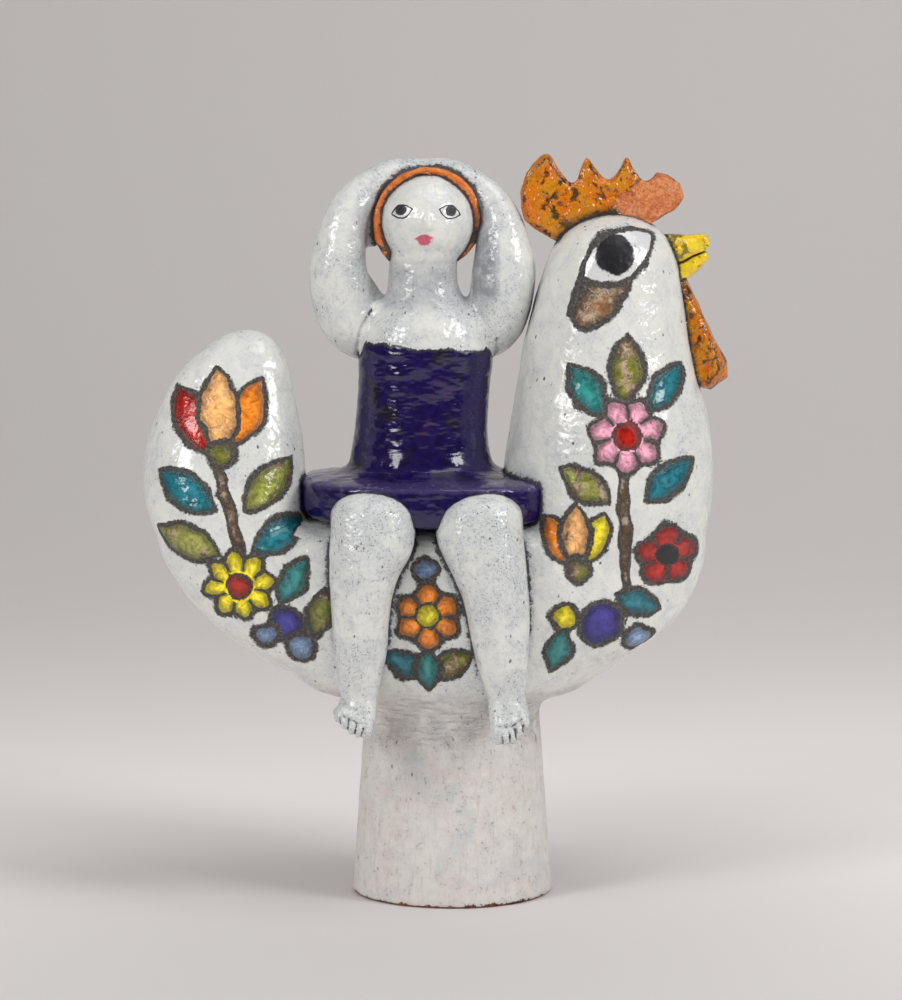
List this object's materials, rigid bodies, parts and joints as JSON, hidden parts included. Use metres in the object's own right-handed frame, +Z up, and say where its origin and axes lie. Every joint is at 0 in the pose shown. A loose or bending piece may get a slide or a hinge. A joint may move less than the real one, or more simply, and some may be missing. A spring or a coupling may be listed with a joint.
{
  "type": "ceramic rider figurine",
  "caption": "Glazed hollow-built ornament: a doll-like rider sits side-saddle on a crescent-shaped cockerel that stands on a hollow tapered pedestal.",
  "frame": {"origin": "middle of the footprint box of the whole figure, on the floor", "axes": "+Z up, +X the way the bird faces, -Y the way the rider faces"},
  "size_m": [0.3166, 0.138, 0.4],
  "materials": {
    "white_glaze": "glossy white tin glaze with grey mottling and dark specks",
    "matte_white_glaze": "thin satin white glaze over red clay",
    "violet_glaze": "glossy deep violet glaze, worn paler on the rims",
    "orange_glaze": "glossy orange glaze with dark specks",
    "yellow_glaze": "glossy yellow glaze",
    "hair_glaze": "satin orange glaze",
    "bare_clay": "unglazed red earthenware"
  },
  "bodies": {
    "root": {"pedestal": "matte_white_glaze", "pedestal_joint_coil": "bare_clay", "bird_body": "white_glaze", "bird_tail": "white_glaze", "bird_neck": "white_glaze", "tail_joint_coil": "bare_clay", "neck_joint_coil": "bare_clay", "comb": "orange_glaze", "upper_beak": "yellow_glaze", "lower_beak": "yellow_glaze", "wattle": "orange_glaze", "rider_skirt": "violet_glaze", "rider_torso": "violet_glaze", "rider_head": "white_glaze", "rider_hair": "hair_glaze", "rider_nose": "white_glaze", "right_arm": "white_glaze", "left_arm": "white_glaze", "right_hand": "white_glaze", "left_hand": "white_glaze", "right_leg": "white_glaze", "left_leg": "white_glaze", "right_foot": "white_glaze", "left_foot": "white_glaze"}
  },
  "joints": []
}
